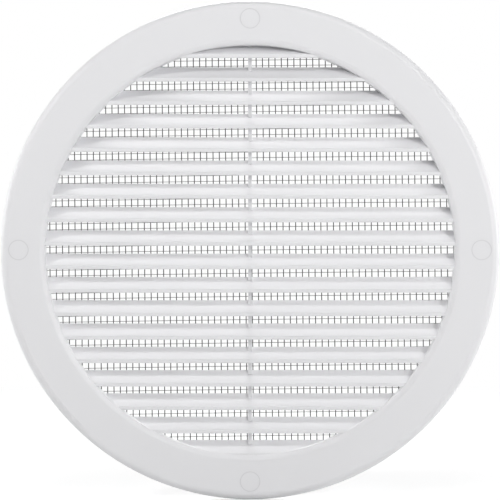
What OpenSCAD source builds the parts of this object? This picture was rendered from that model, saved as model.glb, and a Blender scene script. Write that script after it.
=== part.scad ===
// Round louvred vent grille with an insect net, for a round hole in a wall or for the end of a duct.
// The grille stands upright: it faces -Y, +Z is up, and the origin lies on the axis in the plane of the wall.

/* [Flange] */
// Outside diameter of the flange
flange_d = 200; // [180:1:240]
// Height of the face above the wall
flange_h = 4.5; // [4:0.1:6]
// Thickness of the face and of the rim turned back to the wall
flange_wall = 2; // [1.4:0.1:2.5]
// Rounding of the outer edge
rim_round = 3; // [0.5:0.1:3.5]
// Width of the face, from the outer edge to the rounded mouth of the opening
face_w = 15.6; // [15:0.1:22]
// Width of the rounded mouth, in from the face
mouth_w = 2.2; // [1:0.1:2.4]
// Radius of the mouth's rounding
mouth_round = 3; // [2.5:0.1:5]

/* [Spigot] */
// Length of the spigot behind the plane of the wall
spigot_len = 16; // [12:1:60]
// Thickness of the spigot wall
spigot_wall = 1.5; // [1:0.1:2.2]
// Width of the ledge inside the spigot that carries the edge of the net
ledge_w = 1.3; // [0.8:0.1:2]
// Chamfer that leads the spigot into its hole
lead_in = 0.8; // [0.2:0.1:0.9]

/* [Louvres] */
// Height from one slat to the next
slat_pitch = 9.4; // [7.5:0.05:16]
// Depth of a slat, from its lip to its back edge
slat_depth = 8; // [6:0.5:9]
// Slope of a slat, down towards the front
slat_angle = 31; // [15:1:40]
// Height of the upright lip at the front of a slat
lip_h = 1.6; // [1.2:0.1:2.5]
// Rounding of the lip's two edges
lip_round = 0.35; // [0.1:0.05:0.5]
// Setback of the lips behind the rounding of the mouth
lip_setback = 0.1; // [0.1:0.05:1]
// Height of the middle lip's underside above the axis
lip_offset = 1.7; // [-4:0.1:4]

/* [Centre rib] */
// Width of the rib
rib_w = 1.45; // [1:0.05:3]
// Depth of the rib, forward from the back edges of the slats
rib_depth = 2.7; // [1.5:0.1:5]

/* [Screw points] */
// Number of screw points round the flange
screw_count = 4; // [2:1:12]
// Distance of the screw points from the outer edge
screw_inset = 7.3; // [6.6:0.1:8]
// Diameter of the boss behind each point
boss_d = 7.8; // [6:0.1:8.5]
// Diameter of the blind pilot hole in the boss
pilot_d = 4.2; // [3:0.1:5]
// Thickness of the skin left over the pilot hole
pilot_skin = 0.8; // [0.5:0.1:1.5]
// Width of the ring line on the face round each point
mark_w = 0.4; // [0.2:0.05:0.6]
// Depth of the ring line
mark_depth = 0.2; // [0.05:0.05:0.3]

/* [Insect net] */
// Thickness of the net
net_t = 0.5; // [0.3:0.05:1]
// Distance from one upright strand to the next
strand_pitch = 2.55; // [2:0.01:6]
// Width of an upright strand
strand_w = 0.48; // [0.3:0.01:1]
// Clearance between the edge of the net and the spigot
net_clearance = 0.3; // [0.1:0.05:0.5]
// Turn of the net from upright, as it happens to lie
net_turn = 0.6; // [-3:0.1:3]

/* [Hidden] */
$fn = 96;
// Overshoot of a cutter past the face it cuts
cut = 1;

// Radii, from the outside inwards
flange_r = flange_d / 2;
opening_r = flange_r - face_w - mouth_w;
seat_r = opening_r + ledge_w;
spigot_r = seat_r + spigot_wall;
screw_circle_r = flange_r - screw_inset;

// Turn of the mouth's rounding, from the face to the edge where it meets the wall of the opening
mouth_turn = asin(mouth_w / mouth_round);

// Levels along the axis, from the face back to the end of the spigot, with the wall at 0
lip_z = flange_h - mouth_round * (1 - cos(mouth_turn)) - lip_setback;
seat_z = lip_z - slat_depth;
spigot_end_z = -spigot_len;

// Slats from the lowest to the highest that reach into the opening
slat_rise = lip_h + slat_depth * tan(slat_angle);
first_slat = ceil((-opening_r - slat_rise - lip_offset) / slat_pitch);
last_slat = floor((opening_r - lip_offset) / slat_pitch);
// How far the ends of the slats and the rib run into the spigot wall
root = ledge_w / 2;

// Strands on each side of the middle of the net
net_r = seat_r - net_clearance;
side_strands = floor((opening_r + strand_w / 2) / strand_pitch);

// Turns a shape built face up, with its top edge towards +Y, so that it faces -Y with its top edge up
module stand_up() {
    rotate([90, 0, 0]) children();
}

// Everything outside a circle within the angles from and to, to cut a corner round
module outside_round(r, from, to) {
    reach = (r + cut) / cos((to - from) / 2);
    middle = (from + to) / 2;
    difference() {
        polygon([
            [0, 0], reach * [cos(from), sin(from)],
            reach * [cos(middle), sin(middle)], reach * [cos(to), sin(to)]
        ]);
        circle(r);
    }
}

// Half section of the flange and spigot, radius by level
module ring_section() {
    difference() {
        union() {
            translate([opening_r, flange_h - flange_wall]) square([flange_r - opening_r, flange_wall]);
            translate([flange_r - flange_wall, 0]) square([flange_wall, flange_h]);
            translate([opening_r, seat_z]) square([spigot_r - opening_r, flange_h - seat_z]);
            translate([seat_r, spigot_end_z]) square([spigot_wall, flange_h - spigot_end_z]);
        }
        translate([flange_r - rim_round, flange_h - rim_round]) outside_round(rim_round, 0, 90);
        translate([opening_r + mouth_w, flange_h - mouth_round])
            outside_round(mouth_round, 90, 90 + mouth_turn);
        translate([spigot_r, spigot_end_z])
            polygon([[-lead_in, 0], [0, lead_in], [cut, lead_in], [cut, -cut], [-lead_in, -cut]]);
    }
}

// Section of one slat, height by level: an upright lip with rounded edges, and a blade that rises to the back
module slat_section() {
    // Directions in which the front of the lip and the two faces of the blade look
    front = 90;
    top = slat_angle;
    under = slat_angle + 180;
    // Where the front of the lip would meet a face of the blade if the edge between them were sharp
    function sharp(height, from, to) =
        height + lip_round * cos((from + to) / 2) / cos((to - from) / 2);
    high = sharp(lip_h - lip_round, top, front);
    low = sharp(lip_round, front, under);
    rise = slat_depth * tan(slat_angle);
    difference() {
        polygon([[low, 0], [high, 0], [high + rise, -slat_depth], [low + rise, -slat_depth]]);
        translate([lip_h - lip_round, -lip_round]) outside_round(lip_round, top, front);
        translate([lip_round, -lip_round]) outside_round(lip_round, front, under);
    }
}

// All slats and the rib behind them, cut to the round of the opening
module louvres() {
    intersection() {
        translate([0, 0, seat_z]) cylinder(r = opening_r + root, h = slat_depth);
        union() {
            for (i = [first_slat : last_slat])
                translate([-flange_r, lip_offset + i * slat_pitch, lip_z])
                    rotate([90, 0, 90]) linear_extrude(flange_d) slat_section();
            translate([-rib_w / 2, -flange_r, seat_z]) cube([rib_w, flange_d, rib_depth]);
        }
    }
}

// Places its children at each screw point
module at_screw_points() {
    for (i = [0 : screw_count - 1])
        rotate([0, 0, 90 + i * 360 / screw_count]) translate([screw_circle_r, 0, 0]) children();
}

// Ring line on the face round one screw point
module screw_mark() {
    translate([0, 0, flange_h - mark_depth]) difference() {
        cylinder(d = boss_d + mark_w, h = mark_depth + cut);
        translate([0, 0, -cut]) cylinder(d = boss_d - mark_w, h = mark_depth + 3 * cut);
    }
}

module grille_body() {
    color("whitesmoke") stand_up() difference() {
        union() {
            rotate_extrude() ring_section();
            louvres();
            at_screw_points() cylinder(d = boss_d, h = flange_h - flange_wall / 2);
        }
        at_screw_points() {
            translate([0, 0, -cut]) cylinder(d = pilot_d, h = flange_h - pilot_skin + cut);
            screw_mark();
        }
    }
}

// The net as one disc with a gap between each pair of upright strands, and its welded edge left whole
module insect_net() {
    color("dimgray") stand_up() translate([0, 0, seat_z - net_t]) rotate([0, 0, net_turn]) difference() {
        cylinder(r = net_r, h = net_t);
        translate([0, 0, -cut]) intersection() {
            cylinder(r = opening_r, h = net_t + 2 * cut);
            for (i = [-side_strands : side_strands + 1])
                translate([(i - 1) * strand_pitch + strand_w / 2, -opening_r, 0])
                    cube([strand_pitch - strand_w, 2 * opening_r, net_t + 2 * cut]);
        }
    }
}

grille_body();
insect_net();
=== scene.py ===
import math

import bpy
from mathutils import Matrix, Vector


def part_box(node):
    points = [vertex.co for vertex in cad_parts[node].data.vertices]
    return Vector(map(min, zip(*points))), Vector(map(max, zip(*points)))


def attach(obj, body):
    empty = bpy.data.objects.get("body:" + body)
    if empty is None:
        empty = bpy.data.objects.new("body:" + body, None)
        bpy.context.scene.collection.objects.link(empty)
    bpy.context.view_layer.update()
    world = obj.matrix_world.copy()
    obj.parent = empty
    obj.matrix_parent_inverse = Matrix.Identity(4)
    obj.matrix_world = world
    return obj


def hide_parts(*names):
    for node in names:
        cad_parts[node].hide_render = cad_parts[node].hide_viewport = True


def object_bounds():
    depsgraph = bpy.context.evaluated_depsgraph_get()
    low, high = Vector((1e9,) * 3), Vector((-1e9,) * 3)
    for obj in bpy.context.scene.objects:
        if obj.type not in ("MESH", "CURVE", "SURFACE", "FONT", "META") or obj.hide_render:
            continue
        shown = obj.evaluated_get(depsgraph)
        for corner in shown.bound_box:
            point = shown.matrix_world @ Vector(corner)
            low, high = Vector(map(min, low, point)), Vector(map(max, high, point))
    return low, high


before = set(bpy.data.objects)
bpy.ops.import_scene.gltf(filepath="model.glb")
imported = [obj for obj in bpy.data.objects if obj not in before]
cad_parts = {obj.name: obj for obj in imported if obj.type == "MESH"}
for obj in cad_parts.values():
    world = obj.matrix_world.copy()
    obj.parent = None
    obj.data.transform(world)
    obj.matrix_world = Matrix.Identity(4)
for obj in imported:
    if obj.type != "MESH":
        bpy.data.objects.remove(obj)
cad_box = [list(corner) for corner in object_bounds()]


# Grille body: the flange with its spigot, the louvre slats and the rib behind them, moulded in one
# shot of white plastic. The mould is sparked to a fine grain and polished along the slats, which
# leaves a satin skin, a little uneven in gloss and slightly cool in tone.


class Wire:
    """One output of a node. Arithmetic on wires adds Math nodes. Wire.add makes other nodes."""

    def __init__(self, socket):
        self.socket = socket

    @staticmethod
    def find(sockets, key):
        """The socket with an index, or the one in use with a name."""
        if isinstance(key, int):
            return sockets[key]
        return next(socket for socket in sockets if socket.name == key and socket.enabled)

    @classmethod
    def add(cls, tree, kind, settings=None, sockets=None, out=0):
        """A new node, set up, then fed with values, wires or lists of wires. Gives one output."""
        node = tree.nodes.new(kind)
        for name, value in (settings or {}).items():
            setattr(node, name, value)
        for key, value in (sockets or {}).items():
            socket = cls.find(node.inputs, key)
            wires = value if isinstance(value, list) else [value]
            for wire in wires:
                if isinstance(wire, Wire):
                    tree.links.new(wire.socket, socket)
                else:
                    socket.default_value = wire
        return cls(cls.find(node.outputs, out)) if len(node.outputs) else None

    def output(self, key):
        """Another output of the same node."""
        return Wire(self.find(self.socket.node.outputs, key))

    def math(self, operation, first, second=0.0):
        settings = {"operation": operation}
        return Wire.add(self.socket.id_data, "ShaderNodeMath", settings, {0: first, 1: second})

    def __add__(self, other):
        return self.math("ADD", self, other)

    def __radd__(self, other):
        return self.math("ADD", other, self)

    def __sub__(self, other):
        return self.math("SUBTRACT", self, other)

    def __rsub__(self, other):
        return self.math("SUBTRACT", other, self)

    def __mul__(self, other):
        return self.math("MULTIPLY", self, other)

    def __rmul__(self, other):
        return self.math("MULTIPLY", other, self)

    def __truediv__(self, other):
        return self.math("DIVIDE", self, other)

    def __rtruediv__(self, other):
        return self.math("DIVIDE", other, self)

    def __gt__(self, other):
        return self.math("GREATER_THAN", self, other)


def noise(tree, place, size, detail=2.0):
    """Noise from 0 to 1 with features of about the given size in metres."""
    sockets = {"Vector": place, "Scale": 1.0 / size, "Detail": detail}
    return Wire.add(tree, "ShaderNodeTexNoise", None, sockets, "Fac")


def mix(tree, share, first, second):
    """One colour changing into another as the share goes from 0 to 1."""
    sockets = {"Factor": share, "A": first, "B": second}
    return Wire.add(tree, "ShaderNodeMix", {"data_type": "RGBA"}, sockets, "Result")


def new_material(name):
    """A material without nodes, and its Object coordinates."""
    material = bpy.data.materials.new(name)
    material.use_nodes = True
    material.node_tree.nodes.clear()
    place = Wire.add(material.node_tree, "ShaderNodeTexCoord", out="Object")
    return material, place


def end_material(material, sockets):
    """Ends a material in one Principled shader with these inputs."""
    tree = material.node_tree
    shader = Wire.add(tree, "ShaderNodeBsdfPrincipled", None, sockets)
    Wire.add(tree, "ShaderNodeOutputMaterial", None, {"Surface": shader})


PLASTIC_IOR = 1.49
WHITE_PLASTIC = (0.839, 0.838, 0.853, 1.0)
PALER_PLASTIC = (0.853, 0.852, 0.867, 1.0)
CLOUD_SIZE = 0.045
GRAIN_SIZE = 0.00019
GRAIN_DEPTH = 0.00003
STROKE_SIZE = 0.0007
STROKE_STRETCH = (0.04, 1.0, 1.0)
SCREW_CIRCLE_R = 0.0927
RING_LINE_R = 0.0039
RING_LINE_HALF_WIDTH = 0.0003
# Grey of the painted shade in the ring grooves round the screw points, and how much of it is mixed
# in
GROOVE_SHADE_GREY = (0.35, 0.35, 0.36, 1.0)
GROOVE_SHADE_SHARE = 0.25


def ring_lines(tree, place):
    """Mask for the painted groove shade: 1 in the middle of the ring line round each screw point,
    falling to 0 beside it.
    """
    parts = Wire.add(tree, "ShaderNodeSeparateXYZ", None, {"Vector": place})
    across = parts.math("ABSOLUTE", parts.output("X"))
    up = parts.math("ABSOLUTE", parts.output("Z"))
    outwards = up.math("MAXIMUM", across, up) - SCREW_CIRCLE_R
    sideways = up.math("MINIMUM", across, up)
    radius = up.math("SQRT", outwards * outwards + sideways * sideways)
    beside = up.math("ABSOLUTE", radius - RING_LINE_R)
    return up.math("MAXIMUM", 1.0 - beside / RING_LINE_HALF_WIDTH, 0.0)


def satin_white_plastic():
    material, place = new_material("satin_white_plastic")
    tree = material.node_tree
    cloudy = noise(tree, place, CLOUD_SIZE, 3.0)
    grain = noise(tree, place, GRAIN_SIZE, 3.0)
    # Polishing strokes in the mould run along the slats
    stretched = {"Vector": place, "Scale": STROKE_STRETCH}
    along = Wire.add(tree, "ShaderNodeMapping", None, stretched)
    strokes = noise(tree, along, STROKE_SIZE)
    clean = mix(tree, cloudy, WHITE_PLASTIC, PALER_PLASTIC)
    # Painted shade darkens the ring lines round the screw points, standing in for the shade in
    # their shallow grooves
    groove_shaded = mix(tree, GROOVE_SHADE_SHARE * ring_lines(tree, place), clean, GROOVE_SHADE_GREY)
    bump = Wire.add(tree, "ShaderNodeBump", None, {
        "Strength": 0.2, "Distance": GRAIN_DEPTH, "Height": grain + 0.4 * strokes,
    })
    end_material(material, {
        "Base Color": groove_shaded,
        "Roughness": 0.36 + 0.08 * cloudy + 0.05 * strokes,
        "IOR": PLASTIC_IOR,
        "Normal": bump,
    })
    return material


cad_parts["grille_body"].material_slots[0].material = satin_white_plastic()


# Insect net: a disc of woven plastic screening, charcoal grey. Flat upright strands and thinner
# level ones pass over and under each other. The disc lies on the ledge in the spigot, against the
# backs of the slats, and its edge is melted to a flat bead where it is welded down.

# More strands, and more points along each, than the net has room for
STRANDS = 75
STRAND_POINTS = 301
STRAND_SIDES = 5
BEAD_POINTS = 360
BEAD_SIDES = 10
BEAD_LUMP_SIZE = 0.004
DARK_STRAND = (0.080, 0.081, 0.084, 1.0)
PALE_STRAND = (0.115, 0.116, 0.120, 1.0)
PATCH_SIZE = 0.012
DRAWN_SIZE = 0.0004
DRAWN_DEPTH = 0.00004


def geometry_tree(name, labels):
    """A Geometry Nodes tree with number inputs: the tree, the inputs' keys and their wires."""
    tree = bpy.data.node_groups.new(name, "GeometryNodeTree")
    socket = tree.interface.new_socket
    keys = {
        label: socket(label, in_out="INPUT", socket_type="NodeSocketFloat").identifier
        for label in labels
    }
    socket("Geometry", in_out="OUTPUT", socket_type="NodeSocketGeometry")
    entry = tree.nodes.new("NodeGroupInput")
    return tree, keys, {label: Wire(entry.outputs[label]) for label in labels}


def woven_screen(sizes, material):
    """A round screen woven from two families of strands, with its edge melted to a bead."""
    tree, keys, size = geometry_tree("woven_screen", sizes)

    def node(kind, settings=None, sockets=None, out=0):
        return Wire.add(tree, kind, settings, sockets, out)

    def point(x, y, z):
        return node("ShaderNodeCombineXYZ", None, {"X": x, "Y": y, "Z": z})

    def circle(points, radius):
        sockets = {"Resolution": points, "Radius": radius}
        return node("GeometryNodeCurvePrimitiveCircle", {"mode": "RADIUS"}, sockets)

    def swept(path, sides, label, capped):
        """A strand or bead along a path, with a flat section that lies in the screen."""
        faced = node("GeometryNodeSetCurveNormal", {"mode": "FREE"}, {
            "Curve": path, "Normal": (0.0, 1.0, 0.0),
        })
        section = node("GeometryNodeTransform", None, {
            "Geometry": circle(sides, 1.0),
            "Scale": point(size[label + " Half Thickness"], size[label + " Half Width"], 1.0),
        })
        sockets = {"Curve": faced, "Profile Curve": section, "Fill Caps": capped}
        return node("GeometryNodeCurveToMesh", None, sockets)

    def strands(own, other, over):
        """Strands of one family, with a point at each crossing and one half way to the next."""
        line = node("GeometryNodeCurvePrimitiveLine", {"mode": "POINTS"}, None, "Curve")
        points = node(
            "GeometryNodeResampleCurve", {"mode": "COUNT"},
            {"Curve": line, "Count": STRAND_POINTS}, "Curve",
        )
        copies = node(
            "GeometryNodeDuplicateElements", {"domain": "SPLINE"},
            {"Geometry": points, "Amount": STRANDS}, "Geometry",
        )
        strand = copies.output("Duplicate Index") - (STRANDS - 1) / 2
        step = (node("GeometryNodeSplineParameter", out="Index") - (STRAND_POINTS - 1) / 2) / 2
        across = strand * size[own + " Pitch"] + size[own + " Start"]
        along = step * size[other + " Pitch"] + size[other + " Start"]
        if own == "Upright":
            x, z = across, along
        else:
            x, z = along, across
        # The screen as it happens to lie: leaning, fanned a little, bowed, and tighter at the top
        lying_x = x - z * (size["Lean"] + size["Fan"] * x)
        lying_z = z + x * (size["Rise"] - size["Bow"] * x) - size["Stretch"] * z * z
        wave = strand.math("COSINE", (strand + step) * math.pi)
        y = size["Level"] + over * size["Weave"] * wave
        laid = node("GeometryNodeSetPosition", None, {
            "Geometry": copies, "Position": point(lying_x, y, lying_z),
        })
        # Strands end in the bead
        place = node("GeometryNodeInputPosition")
        in_plane = {0: place, 1: (1.0, 0.0, 1.0)}
        flat = node("ShaderNodeVectorMath", {"operation": "MULTIPLY"}, in_plane)
        radius = node("ShaderNodeVectorMath", {"operation": "LENGTH"}, {0: flat}, "Value")
        outside = radius > size["Radius"] + size[other + " Pitch"] / 2
        trimmed = node("GeometryNodeDeleteGeometry", {"domain": "POINT"}, {
            "Geometry": laid, "Selection": outside,
        })
        shrink = radius.math("MINIMUM", size["Radius"] / radius, 1.0)
        parts = node("ShaderNodeSeparateXYZ", None, {"Vector": place})
        end_x, end_z = parts.output("X") * shrink, parts.output("Z") * shrink
        ended = node("GeometryNodeSetPosition", None, {
            "Geometry": trimmed, "Position": point(end_x, parts.output("Y"), end_z),
        })
        return swept(ended, STRAND_SIDES, own, True)

    hoop = circle(BEAD_POINTS, size["Radius"] - size["Bead Half Width"])
    upright_hoop = node("GeometryNodeTransform", None, {
        "Geometry": hoop,
        "Translation": point(0.0, size["Level"], 0.0),
        "Rotation": (math.pi / 2, 0.0, 0.0),
    })
    melted = noise(tree, node("GeometryNodeInputPosition"), BEAD_LUMP_SIZE)
    uneven = node("GeometryNodeSetCurveRadius", None, {
        "Curve": upright_hoop, "Radius": 0.86 + 0.24 * melted,
    })
    bead = swept(uneven, BEAD_SIDES, "Bead", False)
    uprights = strands("Upright", "Level Strand", 1.0)
    levels = strands("Level Strand", "Upright", -1.0)
    joined = node("GeometryNodeJoinGeometry", None, {"Geometry": [uprights, levels, bead]})
    smooth = node("GeometryNodeSetShadeSmooth", None, {"Geometry": joined})
    real = node("GeometryNodeRealizeInstances", None, {"Geometry": smooth})
    painted = node("GeometryNodeSetMaterial", None, {"Geometry": real, "Material": material})
    exit_node = tree.nodes.new("NodeGroupOutput")
    tree.links.new(painted.socket, exit_node.inputs[0])
    return tree, keys


def grow(name, tree, keys, sizes):
    """Runs a Geometry Nodes tree once and keeps the result as a plain mesh object."""
    piece = bpy.data.objects.new(name, bpy.data.meshes.new(name))
    bpy.context.scene.collection.objects.link(piece)
    modifier = piece.modifiers.new("grow", "NODES")
    modifier.node_group = tree
    for label, value in sizes.items():
        modifier[keys[label]] = value
    bpy.context.view_layer.update()
    evaluated = piece.evaluated_get(bpy.context.evaluated_depsgraph_get())
    grown = bpy.data.meshes.new_from_object(evaluated)
    piece.modifiers.clear()
    piece.data = grown
    grown.name = name
    return piece


def charcoal_strand_plastic():
    material, place = new_material("charcoal_strand_plastic")
    tree = material.node_tree
    patchy = noise(tree, place, PATCH_SIZE, 3.0)
    drawn = noise(tree, place, DRAWN_SIZE)
    bump = Wire.add(tree, "ShaderNodeBump", None, {
        "Strength": 0.3, "Distance": DRAWN_DEPTH, "Height": drawn,
    })
    end_material(material, {
        "Base Color": mix(tree, patchy, DARK_STRAND, PALE_STRAND),
        "Roughness": 0.65 + 0.2 * drawn,
        "IOR": PLASTIC_IOR,
        "Specular IOR Level": 0.25,
        "Normal": bump,
    })
    return material


net_low, net_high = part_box("insect_net")
net_sizes = {
    "Radius": net_high[0],
    "Level": (net_low[1] + net_high[1]) / 2,
    "Weave": 0.00011,
    "Upright Pitch": 0.002547,
    "Upright Start": 0.000714,
    "Upright Half Width": 0.0002,
    "Upright Half Thickness": 0.00012,
    "Level Strand Pitch": 0.002334,
    "Level Strand Start": -0.000038,
    "Level Strand Half Width": 0.00011,
    "Level Strand Half Thickness": 0.00009,
    "Lean": 0.00995,
    "Fan": 0.047,
    "Rise": 0.0128,
    "Bow": 0.024,
    "Stretch": 0.0585,
    "Bead Half Width": 0.00045,
    "Bead Half Thickness": 0.00023,
}
tree, keys = woven_screen(net_sizes, charcoal_strand_plastic())
net = grow("woven_insect_net", tree, keys, net_sizes)
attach(net, "root")
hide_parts("insect_net")


# Floor: a plain white sheet that the grille stands on, turning into the white background. The lens
# sees it as bright as paper, and the grille's shadow stays on it.

FLOOR_Z = cad_box[0][2]
FLOOR_R = 3.0
FLOOR_CORNERS = 64
# Distances from the grille between which the sheet fades into the background
FADE_FROM = 0.35
FADE_TO = 0.8
PAPER = (0.7, 0.7, 0.7, 1.0)
PAPER_LIFT = 0.45
WHITE = (1.0, 1.0, 1.0, 1.0)


def looked_at(tree):
    """1 on what the lens sees, straight, mirrored or through a clear piece, and 0 elsewhere."""
    rays = Wire.add(tree, "ShaderNodeLightPath", out="Is Camera Ray")
    return rays + rays.output("Is Glossy Ray") + rays.output("Is Transmission Ray") > 0.5


def white_paper():
    material, place = new_material("white_paper")
    tree = material.node_tree
    paper = Wire.add(tree, "ShaderNodeBsdfDiffuse", None, {"Color": PAPER})
    lift = Wire.add(tree, "ShaderNodeEmission", None, {"Color": WHITE, "Strength": PAPER_LIFT})
    glow = Wire.add(tree, "ShaderNodeEmission", None, {"Color": WHITE, "Strength": 1.0})
    lifted = Wire.add(tree, "ShaderNodeAddShader", None, {0: paper, 1: lift})
    distance = Wire.add(tree, "ShaderNodeVectorMath", {"operation": "LENGTH"}, {0: place}, "Value")
    far = Wire.add(
        tree, "ShaderNodeMapRange", {"interpolation_type": "SMOOTHSTEP"},
        {"Value": distance, "From Min": FADE_FROM, "From Max": FADE_TO},
    )
    seen = Wire.add(tree, "ShaderNodeMixShader", None, {0: far, 1: lifted, 2: glow})
    shown = Wire.add(tree, "ShaderNodeMixShader", None, {0: looked_at(tree), 1: paper, 2: seen})
    Wire.add(tree, "ShaderNodeOutputMaterial", None, {"Surface": shown})
    return material


sheet = bpy.data.meshes.new("floor")
turns = [i * math.tau / FLOOR_CORNERS for i in range(FLOOR_CORNERS)]
corners = [(FLOOR_R * math.cos(turn), FLOOR_R * math.sin(turn), FLOOR_Z) for turn in turns]
sheet.from_pydata(corners, [], [list(range(FLOOR_CORNERS))])
sheet.materials.append(white_paper())
floor = bpy.data.objects.new("floor", sheet)
bpy.context.scene.collection.objects.link(floor)


# Studio light: soft panels in front, on both sides and behind, where they shine in through the
# spigot on to the slats. Two small lamps in front, one high on the left and one low on the right,
# draw the short shadows. The background is plain white, and only the lens and a shine pick it up.


def softbox(name, azimuth, elevation, distance, width, power):
    """A square lamp aimed at the grille, in degrees, metres and watts. Azimuth 0 is in front."""
    light = bpy.data.lights.new(name, "AREA")
    light.shape = "SQUARE"
    light.size = width
    light.energy = power
    lamp = bpy.data.objects.new(name, light)
    turn = math.radians(azimuth)
    lift = math.radians(elevation)
    lamp.location = (
        distance * math.sin(turn) * math.cos(lift),
        -distance * math.cos(turn) * math.cos(lift),
        distance * math.sin(lift),
    )
    lamp.rotation_euler = (math.pi / 2 - lift, 0.0, turn)
    bpy.context.scene.collection.objects.link(lamp)


softbox("small_left_lamp", -57, 31, 0.7, 0.08, 1.2)
softbox("small_right_lamp", 32, 16, 1.0, 0.12, 2.75)
softbox("high_front_panel", 0, 50, 1.8, 0.9, 6.2)
softbox("front_right_panel", 40, 5, 1.8, 0.6, 5.8)
softbox("left_panel", -105, 5, 1.8, 0.9, 17.0)
softbox("right_panel", 105, 5, 1.8, 0.9, 15.0)
softbox("high_back_panel", 180, 40, 2.2, 1.0, 29.5)
softbox("wide_back_panel", 180, 15, 2.0, 2.0, 3.3)

world = bpy.data.worlds.new("white_room")
world.use_nodes = True
tree = world.node_tree
tree.nodes.clear()
unlit = Wire.add(tree, "ShaderNodeBackground", None, {"Color": WHITE, "Strength": 0.0})
backdrop = Wire.add(tree, "ShaderNodeBackground", None, {"Color": WHITE, "Strength": 1.0})
shown = Wire.add(tree, "ShaderNodeMixShader", None, {0: looked_at(tree), 1: unlit, 2: backdrop})
Wire.add(tree, "ShaderNodeOutputWorld", None, {"Surface": shown})
bpy.context.scene.world = world
bpy.context.scene.view_settings.view_transform = "Standard"


# Camera: square on to the face, level with its middle, about a metre away. The long lens makes the
# flange just fill the frame.

CAMERA_DISTANCE = 0.9925
LENS_MM = 177.8
SENSOR_MM = 36.0

lens = bpy.data.cameras.new("camera")
lens.sensor_width = SENSOR_MM
lens.lens = LENS_MM
camera = bpy.data.objects.new("camera", lens)
camera.location = (0.0, -CAMERA_DISTANCE, 0.0)
camera.rotation_euler = (math.pi / 2, 0.0, 0.0)
bpy.context.scene.collection.objects.link(camera)
bpy.context.scene.camera = camera
